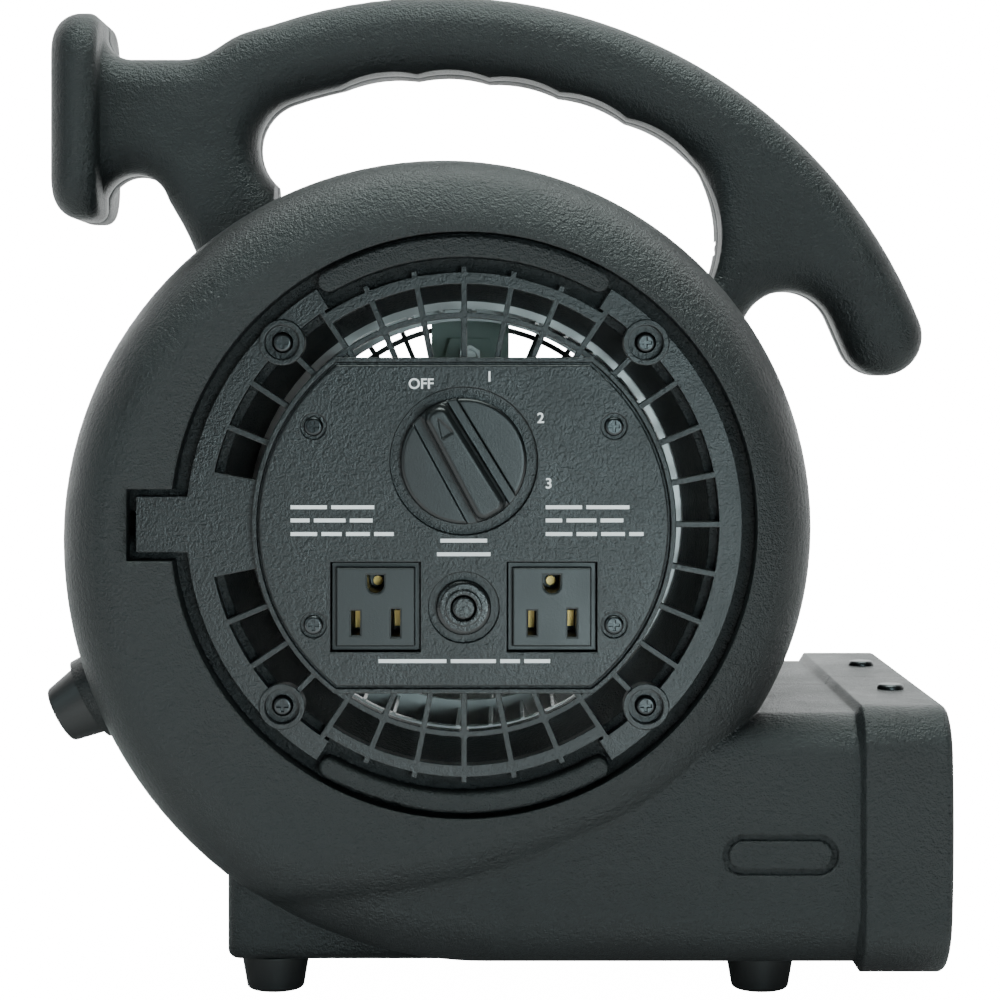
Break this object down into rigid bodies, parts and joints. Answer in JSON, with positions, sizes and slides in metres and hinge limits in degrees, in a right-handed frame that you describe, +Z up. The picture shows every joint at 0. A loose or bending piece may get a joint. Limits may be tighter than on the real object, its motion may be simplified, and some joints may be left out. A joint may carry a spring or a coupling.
{
  "type": "centrifugal air mover",
  "caption": "Compact snail-housing blower with a squirrel-cage wheel on a motor, side inlet grilles, control panel, carry handle and a wide floor-level outlet duct.",
  "frame": {"origin": "centre of the footprint, on the floor under the four rubber feet", "axes": "+Z up, the outlet duct blows towards +X, the control panel and front inlet face -Y"},
  "size_m": [0.3033, 0.22, 0.336],
  "materials": {
    "housing_plastic": "fine-grained black moulding",
    "grille_plastic": "fine-grained black moulding",
    "knob_plastic": "smooth satin black",
    "bezel_plastic": "gloss black",
    "insulator": "dark moulded insulation",
    "receptacle_plastic": "dark grey",
    "contact_brass": "bright",
    "black_screws": "black oxide",
    "zinc_steel": "zinc plated",
    "shaft_steel": "ground",
    "grey_green_steel": "grey-green paint",
    "cast_cap": "as cast",
    "core_steel": "varnished laminations",
    "wheel_plastic": "glossy white moulding",
    "rubber_black": "smooth"
  },
  "bodies": {
    "housing": {"breaker_bezel": "bezel_plastic", "breaker_body": "insulator", "control_panel": "grille_plastic", "cord_gland": "insulator", "foot_left_front": "rubber_black", "foot_left_rear": "rubber_black", "foot_right_front": "rubber_black", "foot_right_rear": "rubber_black", "foot_screws": "zinc_steel", "front_bearing": "zinc_steel", "front_grille": "grille_plastic", "front_grille_screws": "black_screws", "front_housing": "housing_plastic", "housing_screws": "black_screws", "motor_bracket": "grey_green_steel", "motor_front_cap": "cast_cap", "motor_lead": "rubber_black", "motor_rear_cap": "cast_cap", "motor_shell": "grey_green_steel", "motor_spider": "grey_green_steel", "motor_stator": "core_steel", "motor_tie_bolts": "zinc_steel", "mount_bolts": "zinc_steel", "mount_grommets": "rubber_black", "mount_nuts": "zinc_steel", "outlet_contacts_left": "contact_brass", "outlet_contacts_right": "contact_brass", "outlet_guard": "black_screws", "outlet_left": "receptacle_plastic", "outlet_right": "receptacle_plastic", "outlet_rivets": "black_screws", "outlet_sleeve": "housing_plastic", "panel_screws": "black_screws", "rear_bearing": "zinc_steel", "rear_grille": "grille_plastic", "rear_grille_screws": "black_screws", "rear_housing": "housing_plastic", "run_capacitor": "cast_cap", "stand_foot_front": "rubber_black", "stand_foot_rear": "rubber_black", "switch_body": "insulator", "switch_nut": "zinc_steel"},
    "wheel": {"blower_wheel": "wheel_plastic", "wheel_hub": "cast_cap", "hub_set_screw": "zinc_steel", "motor_shaft": "shaft_steel", "motor_rotor": "core_steel"},
    "knob": {"speed_knob": "knob_plastic", "switch_shaft": "shaft_steel"},
    "reset_button": {"breaker_button": "bezel_plastic"}
  },
  "joints": [
    {"name": "wheel_spin", "type": "hinge", "parent": "housing", "child": "wheel", "pos_m": [-0.0078, 0, 0.1555], "axis": [0, 1, 0], "continuous": true},
    {"name": "knob_turn", "type": "hinge", "parent": "housing", "child": "knob", "pos_m": [-0.0078, -0.1, 0.176], "axis": [0, 1, 0], "range_deg": [0, 135]},
    {"name": "breaker_press", "type": "slide", "parent": "housing", "child": "reset_button", "axis": [0, 1, 0], "range_m": [-0.003, 0.001], "stiffness_N_per_m": 400}
  ]
}
